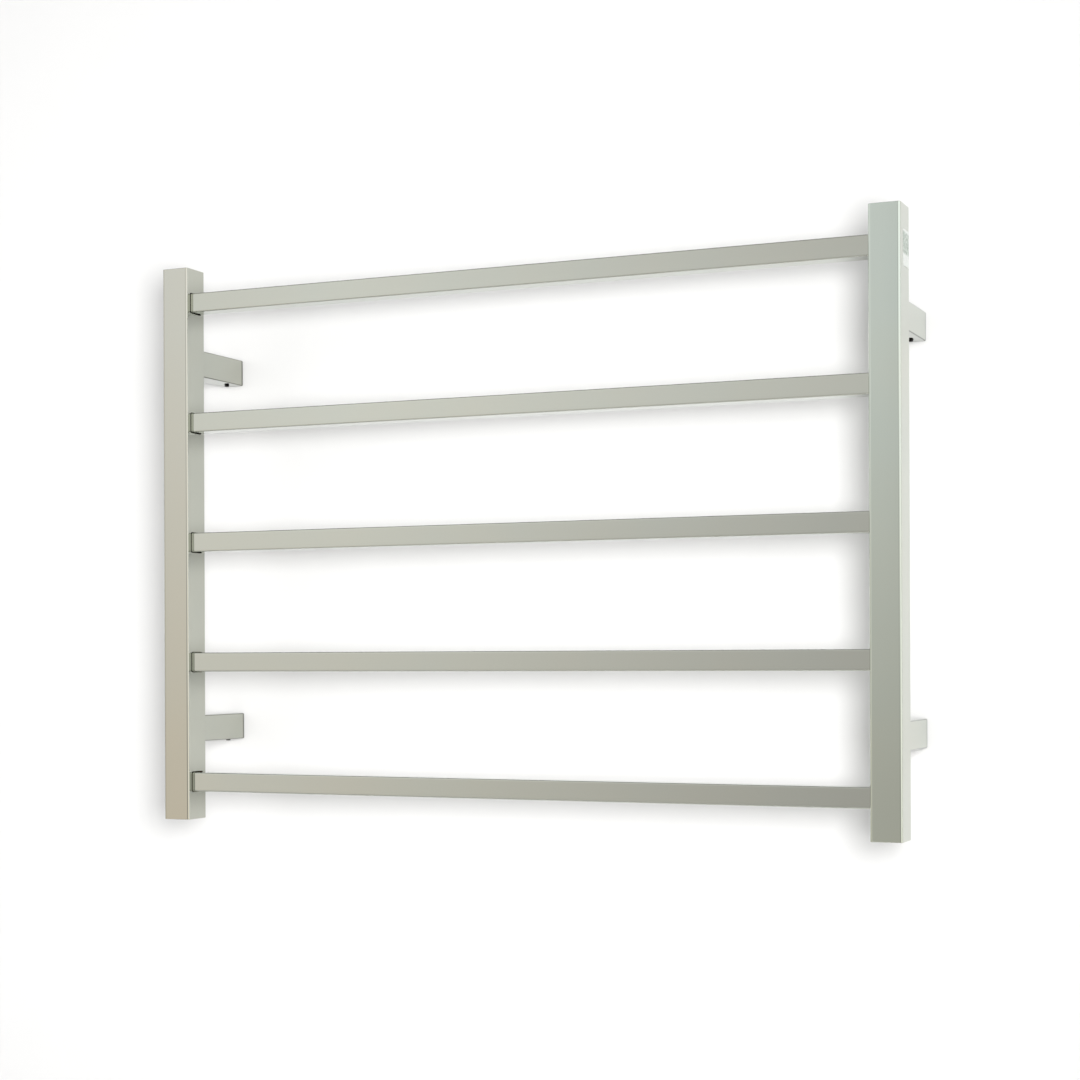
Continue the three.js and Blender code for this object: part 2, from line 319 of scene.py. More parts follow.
def rungPaintedReflection(tree):
    # each rung has its own painted reflection tint at its left end and at its right
    heights = [middle(rungBox[number]).z for number in sorted(rungBox, reverse=True)]
    ends = []
    for end in ("Left", "Right"):
        levels = paintedReflectionTint["rung" + end]
        ends.append(tintByHeight(tree, [(z, (level,) * 3) for z, level in zip(heights, levels)]))
    return mixColours(tree, along(tree, "X", rungBox[1][0].x, rungBox[1][1].x), *ends)


# the buffing marks run along each tube
acrossGrain, upGrain, outGrain = (14, 900, 900), (900, 900, 14), (900, 14, 900)
# painted shade: the arms' colour is scaled down by level and darkened at their edges and by the wall
armPaintedShade = {"level": 0.86, "paintedEdgeShade": True}
rightSidesPaintedLight = 1.14  # painted reflection: the sides on the right are made brighter, as they turn to the brighter part of the room

# the left and right copies of each polished steel differ only in painted reflection and shade
finish = {
    "rung": polishedSteel("polished_steel_across", acrossGrain, rungPaintedReflection),
    "postLeft": polishedSteel("polished_steel_up_left", upGrain, postPaintedReflection("left")),
    "postRight": polishedSteel("polished_steel_up_right", upGrain, postPaintedReflection("right"), sides=rightSidesPaintedLight),
    "armLeft": polishedSteel("polished_steel_out_left", outGrain, **armPaintedShade),
    "armRight": polishedSteel("polished_steel_out_right", outGrain, sides=rightSidesPaintedLight, **armPaintedShade),
    "plain": machinedSteel("plain_steel", (900, 60, 900), ((0.44, 0.44, 0.42), (0.53, 0.53, 0.51)),
                           (0.3, 0.48)),
    "screw": machinedSteel("black_screw_steel", (500, 500, 2400),
                           ((0.03, 0.03, 0.03), (0.075, 0.07, 0.065)), (0.34, 0.55)),
    "tag": machinedSteel("tinned_tag", (700, 90, 700), ((0.56, 0.52, 0.42), (0.66, 0.64, 0.58)),
                         (0.25, 0.42)),
    "rubber": softRubber("black_rubber", ((0.012, 0.012, 0.012), (0.03, 0.03, 0.029)), (0.55, 0.75)),
    "silicone": softRubber("red_silicone", ((0.13, 0.022, 0.014), (0.19, 0.034, 0.02)), (0.38, 0.52)),
}
print("finishes mixed:", len(finish))


# shapes

def roundedSection(width, height, radius, steps=6, shoulder=(0, 0)):
    # a rectangle with round corners; its sides may fall away a little over a shoulder beside each corner
    radius = max(radius, 1e-6)
    breadth, fall = shoulder
    lean = math.atan2(2 * fall, breadth) if breadth else 0
    inset = fall + radius * math.cos(lean)
    foot = radius * math.sin(lean) - breadth
    stages = (0, 1 / 3, 2 / 3) if breadth else ()
    points = []
    for quarter in range(4):
        out, across = (width / 2, height / 2) if quarter % 2 == 0 else (height / 2, width / 2)
        local = [(out - fall * t * t, across - inset + foot + breadth * t) for t in stages]
        for step in range(steps + 1):
            angle = lean + (math.radians(90) - 2 * lean) * step / steps
            a, b = radius * math.cos(angle), radius * math.sin(angle)
            local.append((out - inset + a, across - inset + b))
        local += [(out - inset + foot + breadth * t, across - fall * t * t) for t in stages[::-1]]
        turn = math.radians(90) * quarter
        points += [(a * math.cos(turn) - b * math.sin(turn), a * math.sin(turn) + b * math.cos(turn))
                   for a, b in local]
    return points


def roundSection(radius, steps=32):
    turn = 2 * math.pi / steps
    return [(radius * math.cos(turn * k), radius * math.sin(turn * k)) for k in range(steps)]


def onAxis(axis, centre, section, station):
    if axis == "X":
        return [Vector((station, centre.y + a, centre.z + b)) for a, b in section]
    if axis == "Y":
        return [Vector((centre.x + a, station, centre.z + b)) for a, b in section]
    return [Vector((centre.x + a, centre.y + b, station)) for a, b in section]


def easedEnd(station, inward, edge, steps=4):
    # rings that round an end over: (station, how far the section draws in)
    angles = [math.radians(90) * k / steps for k in range(steps + 1)]
    return [(station + inward * edge * (1 - math.cos(a)), edge * (1 - math.sin(a))) for a in angles]


def bridge(work, low, high):
    # a band of faces between two rings
    for k in range(len(low)):
        after = (k + 1) % len(low)
        work.faces.new((low[k], low[after], high[after], high[k]))


def facedOut(work, name):
    # the worked faces as an object, turned outwards
    bmesh.ops.recalc_face_normals(work, faces=work.faces)
    mesh = bpy.data.meshes.new(name)
    work.to_mesh(mesh)
    work.free()
    return addObject(name, mesh)


def skin(name, rings, closed=False):
    work = bmesh.new()
    made = [[work.verts.new(point) for point in ring] for ring in rings]
    for low, high in zip(made, made[1:]):
        bridge(work, low, high)
    if closed:
        bridge(work, made[-1], made[0])
    else:
        work.faces.new(made[0])
        work.faces.new(made[-1])
    return facedOut(work, name)


def barRings(axis, centre, size, radius, low, high, edge, grow=-1, shoulder=(0, 0)):
    # the outside of a bar, drawn in at its ends, or a bore that flares there
    rings = []
    for station, ease in easedEnd(low, 1, edge) + easedEnd(high, -1, edge)[::-1]:
        change = grow * ease
        width, height = (side + 2 * change for side in size)
        section = roundedSection(width, height, radius + change, shoulder=shoulder)
        rings.append(onAxis(axis, centre, section, station))
    return rings


def solidBar(name, axis, centre, size, radius, low, high, edge):
    return skin(name, barRings(axis, centre, size, radius, low, high, edge))


def openTube(name, axis, centre, size, wall, radius, low, high, edge, shoulder):
    outside = barRings(axis, centre, size, radius, low, high, edge, shoulder=shoulder)
    bore = (size[0] - 2 * wall, size[1] - 2 * wall)
    flat = (shoulder[0], 0)
    inside = barRings(axis, centre, bore, radius / 2, low, high, edge / 2, grow=1, shoulder=flat)
    return skin(name, outside + inside[::-1], closed=True)


def boxSocket(name, centre, size, bore, radii, closedEnd, openEnd, floor, edges):
    # a box-section tube along Y, shut at one end
    inward = math.copysign(1, openEnd - closedEnd)
    outside = easedEnd(closedEnd, inward, edges[0], 3) + easedEnd(openEnd, -inward, edges[1], 6)[::-1]
    inside = easedEnd(openEnd, -inward, edges[2], 3) + [(floor, 0)]
    shells = ((outside, size, radii[0], -1), (inside, bore, radii[1], 1))
    rings = []
    for stops, (width, height), radius, grow in shells:
        for station, ease in stops:
            change = grow * ease
            section = roundedSection(width + 2 * change, height + 2 * change, radius + change)
            rings.append(onAxis("Y", centre, section, station))
    return skin(name, rings)


def turnedPiece(name, axis, centre, profile, steps=48, closed=False):
    rings = [onAxis(axis, centre, roundSection(radius, steps), station) for station, radius in profile]
    return skin(name, rings, closed)


def hexSection(acrossFlats):
    return roundSection(acrossFlats / math.sqrt(3), 6)


def ribbedSection(radius, depth, steps):
    # a circle with every other point a little deeper
    return [(a * (radius - depth * (k % 2)), b * (radius - depth * (k % 2)))
            for k, (a, b) in enumerate(roundSection(1, steps))]


def smooth(mesh):
    mesh.polygons.foreach_set("use_smooth", [True] * len(mesh.polygons))


def roundShading(piece, limit=35.0):
    smooth(piece.data)
    piece.data.set_sharp_from_angle(angle=math.radians(limit))
    return piece


def placedCopy(name, model, matrix):
    mesh = model.data.copy()
    mesh.transform(matrix)
    return roundShading(addObject(name, mesh))


def rimCutter(name, axis, centre, section, surface, inward, depth, edge, proud=0.002):
    # a punch that leaves an eased rim where it enters at the surface
    start, stop = surface - inward * proud, surface + inward * depth
    stops = [(start, edge), *easedEnd(surface, inward, edge), (stop, 0)]
    return skin(name, [onAxis(axis, centre, section(flare), station) for station, flare in stops])


def asPlainMesh(piece):
    shaped = piece.evaluated_get(bpy.context.evaluated_depsgraph_get())
    mesh = bpy.data.meshes.new_from_object(shaped)
    piece.modifiers.clear()
    piece.data = mesh
    return piece


def removeObjects(objects):
    for item in objects:
        bpy.data.objects.remove(item)


def boreCutters(centre, holes, face, depth, edge):
    # round punches along Y into a face: each hole is its radius and its height above the centre
    return [rimCutter("hole_cutter", "Y", Vector((centre.x, 0, centre.z + rise)),
                      lambda flare, r=radius: roundSection(r + flare), face, -1, depth, edge)
            for radius, rise in holes]


def punch(piece, cutters):
    for cutter in cutters:
        modifier = piece.modifiers.new("punch", "BOOLEAN")
        modifier.operation = "DIFFERENCE"
        modifier.solver = "EXACT"
        modifier.object = cutter
    asPlainMesh(piece)
    removeObjects(cutters)
    return piece


def crispShading(piece, limit=50.0):
    # flat faces keep their own normal and the eased edges between them turn smoothly
    mesh = piece.data
    smooth(mesh)
    isFlat = [max(abs(c) for c in face.normal) > 0.999995 for face in mesh.polygons]
    around = {}
    for face in mesh.polygons:
        for corner in face.vertices:
            around.setdefault(corner, []).append(face.index)
    cosLimit = math.cos(math.radians(limit))
    normals = []
    for face in mesh.polygons:
        for corner in face.vertices:
            if isFlat[face.index]:
                normals.append(face.normal.copy())
                continue
            near = [mesh.polygons[f] for f in around[corner]]
            near = [other for other in near if other.normal.dot(face.normal) > cosLimit]
            flats = [other for other in near if isFlat[other.index]]
            if flats:
                best = max(flats, key=lambda other: other.normal.dot(face.normal))
                normals.append(best.normal.copy())
            else:
                total = Vector()
                for other in near:
                    total += other.normal * other.area
                normals.append(total.normalized())
    mesh.normals_split_custom_set(normals)
    return piece


def dress(piece, material, body, slotName, *nodes):
    piece.data.materials.clear()
    piece.data.materials.append(material)
    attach(piece, body)
    if nodes:
        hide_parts(*nodes)
    return piece


# posts

postMake = {
    "wall": 1.5 * mm,
    "corner": 2.2 * mm,
    "shoulder": (0.6 * mm, 0.012 * mm),  # breadth and fall of the face beside the corner
    "endEdge": 0.35 * mm,
    "slotReveal": 0.7 * mm,
    "slotCorner": 1.7 * mm,
    "slotEdge": 0.3 * mm,
    "boltHole": (2.8 * mm, 5.0 * mm),  # radius, height above the arm's axis
    "cableHole": (4.25 * mm, -4.5 * mm),
    "holeEdge": 0.2 * mm,
    "cutDepth": 4.0 * mm,
}


def geometryTree(name, **inputs):
    # a modifier's tree with geometry in and out, and its other inputs by name and kind
    tree = bpy.data.node_groups.new(name, "GeometryNodeTree")
    tree.interface.new_socket("Geometry", in_out="INPUT", socket_type="NodeSocketGeometry")
    for label, kind in inputs.items():
        tree.interface.new_socket(label.replace("_", " "), in_out="INPUT", socket_type="NodeSocket" + kind)
    tree.interface.new_socket("Geometry", in_out="OUTPUT", socket_type="NodeSocketGeometry")
    return tree, tree.nodes.new("NodeGroupInput").outputs


def endTree(tree, shaped, material):
    # makes copies real, paints the shape and hands it out
    real = addNode(tree, "GeometryNodeRealizeInstances", Geometry=shaped)
    paint = addNode(tree, "GeometryNodeSetMaterial", Geometry=real.outputs["Geometry"], Material=material)
    addNode(tree, "NodeGroupOutput", Geometry=paint.outputs["Geometry"])
    return tree


def slotTree():
    # punches a row of equal slots down a post, working from one cutter
    tree, given = geometryTree("slotRow", Cutter="Object", Count="Int", Pitch="Float", Steel="Material")
    step = addNode(tree, "ShaderNodeCombineXYZ", Z=given["Pitch"])
    row = addNode(tree, "GeometryNodeMeshLine", Count=given["Count"], Offset=step.outputs["Vector"])
    cutter = addNode(tree, "GeometryNodeObjectInfo", Object=given["Cutter"])
    copies = addNode(tree, "GeometryNodeInstanceOnPoints", Points=row.outputs["Mesh"],
                     Instance=cutter.outputs["Geometry"])
    punches = addNode(tree, "GeometryNodeRealizeInstances", Geometry=copies.outputs["Instances"])
    cut = tree.nodes.new("GeometryNodeMeshBoolean")
    cut.operation = "DIFFERENCE"
    cut.solver = "EXACT"
    link(tree, given["Geometry"], cut.inputs[0])
    link(tree, punches.outputs["Geometry"], cut.inputs[1])
    return endTree(tree, cut.outputs["Mesh"], given["Steel"])


def runTree(piece, tree, values):
    modifier = piece.modifiers.new(tree.name, "NODES")
    modifier.node_group = tree
    sockets = {item.name: item.identifier for item in tree.interface.items_tree if item.in_out == "INPUT"}
    for name, value in values.items():
        modifier[sockets[name]] = value
    return asPlainMesh(piece)


def makePost(side, tree):
    make = postMake
    low, high = postBox[side]
    centre = (low + high) / 2
    width, depth = high.x - low.x, high.y - low.y
    inward = 1 if side == "left" else -1
    post = openTube("steel_post_" + side, "Z", centre, (width, depth), make["wall"], make["corner"],
                    low.z, high.z, make["endEdge"], make["shoulder"])
    rungLow, rungHigh = rungBox[5]
    slot = rungHigh.z - rungLow.z + 2 * make["slotReveal"]
    innerFace = centre.x + inward * width / 2

    def slotSection(flare):
        return roundedSection(slot + 2 * flare, slot + 2 * flare, make["slotCorner"] + flare)

    cutter = rimCutter("slot_cutter", "X", Vector((0, centre.y, middle(rungBox[5]).z)), slotSection,
                       innerFace, -inward, make["cutDepth"], make["slotEdge"])
    steel = finish["post" + side.capitalize()]
    pitch = middle(rungBox[4]).z - middle(rungBox[5]).z
    runTree(post, tree, {"Cutter": cutter, "Count": len(rungBox), "Pitch": pitch, "Steel": steel})
    removeObjects([cutter])
    holes = (make["boltHole"], make["cableHole"])
    cutters = []
    for level in ("upper", "lower"):
        arm = middle(armBox[level + "_" + side])
        cutters += boreCutters(arm, holes, high.y, make["cutDepth"], make["holeEdge"])
    punch(post, cutters)
    crispShading(post)
    return dress(post, steel, "ladder", "polished_steel", "post_" + side)


slotRow = slotTree()
for side in ("left", "right"):
    makePost(side, slotRow)
print("posts cut and shaded")


# post caps

capMake = {"gap": 0.06 * mm, "edge": 0.18 * mm, "corner": 0.7 * mm}


def makeCap(side, end):
    node = "post_%s_cap_%s" % (side, end)
    low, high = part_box(node)
    outside = postBox[side][1] - postBox[side][0]
    drawnIn = 2 * (postMake["wall"] + capMake["gap"])
    size = (outside.x - drawnIn, outside.y - drawnIn)
    cap = solidBar("end_cap_%s_%s" % (side, end), "Z", middle((low, high)), size, capMake["corner"],
                   low.z, high.z, capMake["edge"])
    crispShading(cap)
    return dress(cap, finish["post" + side.capitalize()], "ladder", "polished_steel", node)


for side in ("left", "right"):
    for end in ("top", "bottom"):
        makeCap(side, end)


# rungs

rungMake = {
    "wall": 1.2 * mm,
    "corner": 1.0 * mm,
    "shoulder": (0.9 * mm, 0.03 * mm),
    "endEdge": 0.15 * mm,
}


def makeRung(number):
    low, high = rungBox[number]
    size = (high.y - low.y, high.z - low.z)
    rung = openTube("steel_rung_%d" % number, "X", (low + high) / 2, size, rungMake["wall"],
                    rungMake["corner"], low.x, high.x, rungMake["endEdge"], rungMake["shoulder"])
    crispShading(rung)
    return dress(rung, finish["rung"], "ladder", "polished_steel", "rung_%d" % number)


for number in rungBox:
    makeRung(number)
print("rungs and caps fitted")


# stand-off arms

armMake = {
    "wall": 2.0 * mm,
    "endWall": 3.0 * mm,
    "corners": (1.2 * mm, 0.5 * mm),  # outside, in the bore
    "edges": (0.15 * mm, 1.85 * mm, 0.1 * mm),  # at the post, at the wall, in the mouth
    "fit": 0.02 * mm,  # between the arm and the post
    "grubHole": (2.8 * mm, 15.5 * mm),  # radius, distance from the wall
    "grubCut": 4.0 * mm,
    "rim": 0.25 * mm,
    "cutDepth": 5.0 * mm,
}


def makeArm(where):
    make = armMake
    low, high = armBox[where]
    centre = (low + high) / 2
    size = (high.x - low.x, high.z - low.z)
    bore = (size[0] - 2 * make["wall"], size[1] - 2 * make["wall"])
    back = postBox["left"][1].y + make["fit"]
    floor = back + make["endWall"]
    arm = boxSocket("arm_tube_" + where, centre, size, bore, make["corners"], back, high.y, floor,
                    make["edges"])
    holes = (postMake["boltHole"], postMake["cableHole"])
    cutters = boreCutters(centre, holes, floor, make["cutDepth"], postMake["holeEdge"])
    radius, fromWall = make["grubHole"]
    cutters.append(rimCutter("grub_cutter", "Z", Vector((centre.x, -fromWall, 0)),
                             lambda flare: roundSection(radius + flare), low.z, 1,
                             make["grubCut"], make["rim"]))
    punch(arm, cutters)
    crispShading(arm)
    steel = finish["armLeft" if where.endswith("left") else "armRight"]
    return dress(arm, steel, "ladder", "polished_steel", "arm_" + where)


for where in corners:
    makeArm(where)
print("arms fitted")


# wall bosses

bossMake = {
    "wall": 2.0 * mm,
    "base": 3.0 * mm,
    "corners": (0.8 * mm, 0.5 * mm),
    "edges": (0.3 * mm, 0.5 * mm, 0.3 * mm),
    "screwHole": (2.25 * mm, 5.2 * mm),  # radius, height above the arm's axis
    "cableway": (2.5 * mm, -1.2 * mm),
    "rim": 0.35 * mm,
    "cutDepth": 5.0 * mm,
}


def makeBoss(where):
    make = bossMake
    low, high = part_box("wall_boss_" + where)
    size = (high.x - low.x, high.z - low.z)
    bore = (size[0] - 2 * make["wall"], size[1] - 2 * make["wall"])
    boss = boxSocket("boss_" + where, (low + high) / 2, size, bore, make["corners"], high.y, low.y,
                     high.y - make["base"], make["edges"])
    holes = (make["screwHole"], make["cableway"])
    punch(boss, boreCutters(middle(armBox[where]), holes, high.y, make["cutDepth"], make["rim"]))
    crispShading(boss)
    return dress(boss, finish["plain"], "wall_bosses", "plain_steel", "wall_boss_" + where)


for where in corners:
    makeBoss(where)
print("bosses fitted")


# screws

threadMake = {"pitch": 0.8 * mm, "depth": 0.42 * mm, "rowsPerTurn": 10, "runOut": 0.6 * mm}
grubMake = {
    "radius": 2.5 * mm,
    "chamfer": 0.35 * mm,
    "point": 0.9 * mm,
    "key": 2.5 * mm,
    "keyDepth": 3.0 * mm,
    "keyEdge": 0.15 * mm,
}
capScrewMake = {
    "radius": 2.5 * mm,
    "head": 4.25 * mm,
    "headHeight": 5.0 * mm,
    "key": 4.0 * mm,
    "keyDepth": 2.6 * mm,
    "keyEdge": 0.2 * mm,
    "tip": 0.35 * mm,
    "crown": 0.6 * mm,
    "ribs": 36,
    "ribDepth": 0.12 * mm,
    "ribbed": (0.8 * mm, 4.0 * mm),  # where the ribs are at their deepest, above the head's foot
    "ribFade": 0.1 * mm,
}


def threadTree():
    # rolls a thread into an upright shank: a ridge wave that climbs one pitch in each turn
    tree, given = geometryTree("rollThread", Pitch="Float", Depth="Float", Low="Float", High="Float",
                               Run_Out="Float", Steel="Material")
    x, y, z = splitVector(tree, tree.nodes.new("GeometryNodeInputPosition").outputs["Position"])
    turns = mathNode(tree, "DIVIDE", mathNode(tree, "ARCTAN2", y, x), 2 * math.pi)
    climb = mathNode(tree, "DIVIDE", z, given["Pitch"])
    phase = mathNode(tree, "FRACT", mathNode(tree, "SUBTRACT", climb, turns))
    wave = mathNode(tree, "SUBTRACT", mathNode(tree, "MULTIPLY", phase, 2.0), 1.0)
    groove = mathNode(tree, "ABSOLUTE", wave)
    fromEnds = (mathNode(tree, "SUBTRACT", z, given["Low"]), mathNode(tree, "SUBTRACT", given["High"], z))
    fades = [mathNode(tree, "DIVIDE", distance, given["Run Out"]) for distance in fromEnds]
    fade = mathNode(tree, "MINIMUM", mathNode(tree, "MINIMUM", *fades), 1.0)
    fade = mathNode(tree, "MAXIMUM", fade, 0.0)
    cut = mathNode(tree, "MULTIPLY", mathNode(tree, "MULTIPLY", groove, fade), given["Depth"])
    outward = addNode(tree, "ShaderNodeCombineXYZ", X=x, Y=y)
    unit = vectorMath(tree, "NORMALIZE", outward.outputs["Vector"])
    inward = vectorMath(tree, "SCALE", unit, mathNode(tree, "MULTIPLY", cut, -1.0))
    shift = addNode(tree, "GeometryNodeSetPosition", Geometry=given["Geometry"], Offset=inward)
    return endTree(tree, shift.outputs["Geometry"], given["Steel"])


def shankStops(low, high, radius):
    rows = math.ceil((high - low) / threadMake["pitch"] * threadMake["rowsPerTurn"])
    return [(low + (high - low) * k / rows, radius) for k in range(rows + 1)]


def rollThread(shank, low, high):
    values = {"Pitch": threadMake["pitch"], "Depth": threadMake["depth"], "Low": low, "High": high,
              "Run Out": threadMake["runOut"], "Steel": finish["screw"]}
    return runTree(shank, threadRoller, values)


threadRoller = threadTree()


def grubModel():
    # stands on the origin, key socket down
    make = grubMake
    low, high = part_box("grub_screw_" + corners[0])
    length = high.z - low.z
    start, stop = make["chamfer"], length - make["point"]
    profile = [(0, make["radius"] - make["chamfer"])] + shankStops(start, stop, make["radius"])
    profile.append((length, make["radius"] - make["point"]))
    grub = turnedPiece("grub_model", "Z", Vector(), profile)
    rollThread(grub, start, stop)
    key = rimCutter("key_cutter", "Z", Vector(), lambda flare: hexSection(make["key"] + 2 * flare), 0, 1,
                    make["keyDepth"], make["keyEdge"])
    return punch(grub, [key])


def capScrewModel():
    # points down, its head on top of the origin's plane
    make = capScrewMake
    low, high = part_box("arm_screw_" + corners[0])
    length = high.y - low.y - make["headHeight"]
    steps = 2 * make["ribs"]
    start = make["tip"] - length
    stops = [(-length, make["radius"] - make["tip"])] + shankStops(start, 0, make["radius"])
    sections = [(station, roundSection(radius, steps)) for station, radius in stops]
    (foot, top), fade = make["ribbed"], make["ribFade"]
    for station, depth in ((0, 0), (foot - fade, 0), (foot, 1), (top, 1), (top + fade, 0)):
        sections.append((station, ribbedSection(make["head"], make["ribDepth"] * depth, steps)))
    for station, drawn in easedEnd(make["headHeight"], -1, make["crown"])[::-1]:
        sections.append((station, roundSection(make["head"] - drawn, steps)))
    rings = [onAxis("Z", Vector(), section, station) for station, section in sections]
    screw = skin("cap_screw_model", rings)
    rollThread(screw, start, 0)
    key = rimCutter("key_cutter", "Z", Vector(), lambda flare: hexSection(make["key"] + 2 * flare),
                    make["headHeight"], -1, make["keyDepth"], make["keyEdge"])
    return punch(screw, [key])


grub = grubModel()
capScrew = capScrewModel()
layDown = Matrix.Rotation(math.radians(-90), 4, "X")
for where in corners:
    node = "grub_screw_" + where
    low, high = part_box(node)
    foot = Matrix.Translation(((low.x + high.x) / 2, (low.y + high.y) / 2, low.z))
    dress(placedCopy("grub_" + where, grub, foot), finish["screw"], node, "screw_steel", node)
    node = "arm_screw_" + where
    low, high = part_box(node)
    bearing = ((low.x + high.x) / 2, high.y - capScrewMake["headHeight"], (low.z + high.z) / 2)
    copy = placedCopy("cap_screw_" + where, capScrew, Matrix.Translation(bearing) @ layDown)
    dress(copy, finish["screw"], "ladder", "screw_steel", node)
removeObjects([grub, capScrew])
print("screws driven")


# tapped plates that the screws run in

plateMake = {"corner": 0.6 * mm, "edge": 0.25 * mm, "hole": 2.6 * mm, "rim": 0.35 * mm, "overrun": 1.0 * mm}


def makePlate(node, name, axis, hole):
    make = plateMake
    low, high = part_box(node)
    flat = (high.x - low.x, high.z - low.z if axis == "Y" else high.y - low.y)
    start, stop = (low.y, high.y) if axis == "Y" else (low.z, high.z)
    plate = solidBar(name, axis, (low + high) / 2, flat, make["corner"], start, stop, make["edge"])
    stops = [(start - make["overrun"], make["rim"])] + easedEnd(start, 1, make["rim"])
    stops += easedEnd(stop, -1, make["rim"])[::-1] + [(stop + make["overrun"], make["rim"])]
    tap = turnedPiece("tap", axis, hole, [(station, make["hole"] + flare) for station, flare in stops])
    punch(plate, [tap])
    crispShading(plate)
    return dress(plate, finish["plain"], "ladder", "plain_steel", node)


for where in corners:
    makePlate("grub_nut_" + where, "grub_plate_" + where, "Z", middle(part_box("grub_screw_" + where)))
    makePlate("post_insert_" + where, "post_plate_" + where, "Y", middle(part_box("arm_screw_" + where)))
print("tapped plates fitted")


# heating cable

cableMake = {"radius": 2.0 * mm, "bend": 12.0 * mm, "bendSteps": 12, "sides": 24}


def cableTree():
    # rounds the corners of a route and runs a round section along it
    tree, given = geometryTree("layCable", Radius="Float", Bend="Float", Bend_Steps="Int", Sides="Int",
                               Sheath="Material")
    route = addNode(tree, "GeometryNodeMeshToCurve", Mesh=given["Geometry"])
    rounder = addNode(tree, "GeometryNodeFilletCurve", Curve=route.outputs["Curve"], Radius=given["Bend"])
    rounder.mode = "POLY"
    link(tree, given["Bend Steps"], rounder.inputs["Count"])
    section = addNode(tree, "GeometryNodeCurvePrimitiveCircle", Radius=given["Radius"],
                      Resolution=given["Sides"])
    sweep = addNode(tree, "GeometryNodeCurveToMesh", Curve=rounder.outputs["Curve"],
                    Profile_Curve=section.outputs["Curve"], Fill_Caps=True)
    return endTree(tree, sweep.outputs["Mesh"], given["Sheath"])


def makeCable():
    make = cableMake
    low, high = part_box("heating_cable")
    depth = middle(rungBox[1]).y
    right = high.x - make["radius"]
    bottom = low.z + make["radius"]
    step = middle(rungBox[4]).z - middle(rungBox[5]).z
    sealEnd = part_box("cable_end_seal")[1].x
    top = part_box("thermal_cutout")[0].z
    points = [(right, depth, top)]
    side = 1
    for run in range(len(rungBox)):
        z = bottom + run * step
        points.append((side * right, depth, z))
        side = -side
        points.append((side * right if run < len(rungBox) - 1 else sealEnd, depth, z))
    mesh = bpy.data.meshes.new("heating_wire")
    mesh.from_pydata(points, [(k, k + 1) for k in range(len(points) - 1)], [])
    wire = addObject("heating_wire", mesh)
    runTree(wire, cableTree(), {"Radius": make["radius"], "Bend": make["bend"], "Sides": make["sides"],
                                "Bend Steps": make["bendSteps"], "Sheath": finish["silicone"]})
    roundShading(wire)
    return dress(wire, finish["silicone"], "ladder", "red_silicone", "heating_cable")


makeCable()


# sleeves on the cable, the inlet and the earth tag

sleeveMake = {
    "edge": 0.8 * mm,
    "waist": 0.45 * mm,  # how far the shrunk ends draw in
    "collar": 3.0 * mm,  # how long the drawn-in end is
    "rise": 1.2 * mm,
    "riseSteps": 6,
}


def makeSleeve(node, name, axis, material, slotName):
    make = sleeveMake
    low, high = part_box(node)
    start, stop = (low.x, high.x) if axis == "X" else (low.z, high.z)
    neck = (high.y - low.y) / 2 - make["waist"]
    left = [(station, neck - drawn) for station, drawn in easedEnd(start, 1, make["edge"], 5)]
    for k in range(make["riseSteps"] + 1):
        part = k / make["riseSteps"]
        swell = make["waist"] * (1 - math.cos(math.pi * part)) / 2
        left.append((start + make["collar"] + make["rise"] * part, neck + swell))
    right = [(start + stop - station, radius) for station, radius in left[::-1]]
    sleeve = turnedPiece(name, axis, (low + high) / 2, left + right)
    roundShading(sleeve, 50)
    return dress(sleeve, material, "ladder", slotName, node)


makeSleeve("cable_end_seal", "end_seal", "X", finish["silicone"], "red_silicone")
makeSleeve("thermal_cutout", "cutout_sleeve", "Z", finish["rubber"], "black_rubber")
makeSleeve("cold_joint", "cold_joint_sleeve", "Z", finish["silicone"], "red_silicone")

grommetMake = {"bore": 2.75 * mm, "neck": 3.95 * mm, "lip": 1.5 * mm, "round": 0.6 * mm, "mouth": 0.4 * mm}


def makeGrommet():
    make = grommetMake
    low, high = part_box("cable_grommet")
    lipRadius = (high.x - low.x) / 2
    bore, neck, lip, mouth = (make[part] for part in ("bore", "neck", "lip", "mouth"))
    backLip, frontLip = (
        [(station, lipRadius - drawn) for station, drawn in easedEnd(face, inward, make["round"], 6)]
        for face, inward in ((low.y, 1), (high.y, -1)))
    waist = [(low.y + lip, lipRadius), (low.y + lip, neck), (high.y - lip, neck), (high.y - lip, lipRadius)]
    hole = [(high.y, bore + mouth), (high.y - mouth, bore), (low.y + mouth, bore), (low.y, bore + mouth)]
    profile = backLip + waist + frontLip[::-1] + hole
    grommet = turnedPiece("inlet_grommet", "Y", (low + high) / 2, profile, closed=True)
    roundShading(grommet, 50)
    return dress(grommet, finish["rubber"], "ladder", "black_rubber", "cable_grommet")


makeGrommet()


def easedCopy(node, name, edge):
    # the frame's own shape with its edges broken
    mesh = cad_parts[node].data.copy()
    work = bmesh.new()
    work.from_mesh(mesh)
    bmesh.ops.remove_doubles(work, verts=work.verts, dist=0.001 * mm)
    bmesh.ops.dissolve_limit(work, angle_limit=math.radians(1), verts=work.verts, edges=work.edges)
    work.to_mesh(mesh)
    work.free()
    piece = addObject(name, mesh)
    bevel = piece.modifiers.new("edge", "BEVEL")
    bevel.width = edge
    bevel.segments = 2
    bevel.limit_method = "ANGLE"
    bevel.angle_limit = math.radians(40)
    return roundShading(asPlainMesh(piece))


eyelet = easedCopy("earth_tag", "earth_eyelet", edge=0.12 * mm)
dress(eyelet, finish["tag"], "ladder", "tinned_brass", "earth_tag")
print("cable, sleeves, inlet and earth tag fitted")


# rating label, left blank

